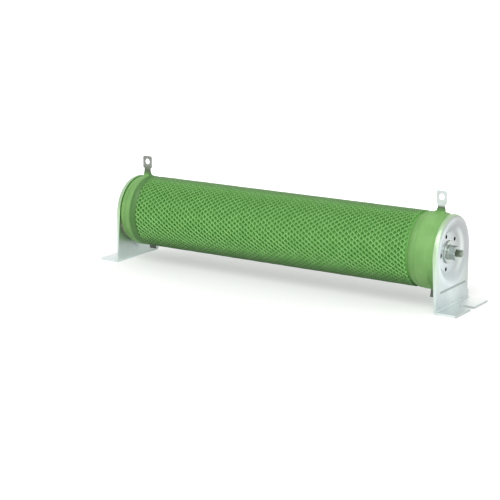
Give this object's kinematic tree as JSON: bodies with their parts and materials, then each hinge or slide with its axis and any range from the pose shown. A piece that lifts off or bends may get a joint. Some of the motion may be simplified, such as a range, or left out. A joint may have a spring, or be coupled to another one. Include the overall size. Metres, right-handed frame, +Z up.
{
  "type": "braking resistor",
  "caption": "Tubular wire-wound braking resistor with corrugated ribbon winding, green cement coat, terminal lugs and two slotted sheet-steel end brackets on a tie rod.",
  "frame": {"origin": "on the surface that the feet stand on, below the middle of the tube", "axes": "+X along the tube, towards the right end bracket; +Z up, towards the terminal lugs; +Y away from the viewer"},
  "size_m": [0.337, 0.0604, 0.09],
  "materials": {
    "green_cement": "satin cement coat, pale green",
    "coated_ribbon": "resistance ribbon under a thin green cement coat",
    "tube_ceramic": "unglazed white ceramic",
    "zinc_steel": "bright zinc-plated sheet steel",
    "zinc_fasteners": "zinc-plated steel",
    "tinned_lug": "tinned, dull silver"
  },
  "bodies": {
    "root": {"ceramic_tube": "tube_ceramic", "ribbon_winding": "coated_ribbon", "cement_coating": "green_cement", "tie_rod": "zinc_fasteners", "plain_washers": "zinc_fasteners", "spring_washers": "zinc_fasteners", "tie_nuts": "zinc_fasteners", "end_brackets": "zinc_steel", "terminal_bands": "tinned_lug", "terminal_lug_right": "tinned_lug", "terminal_lug_left": "tinned_lug"}
  },
  "joints": []
}
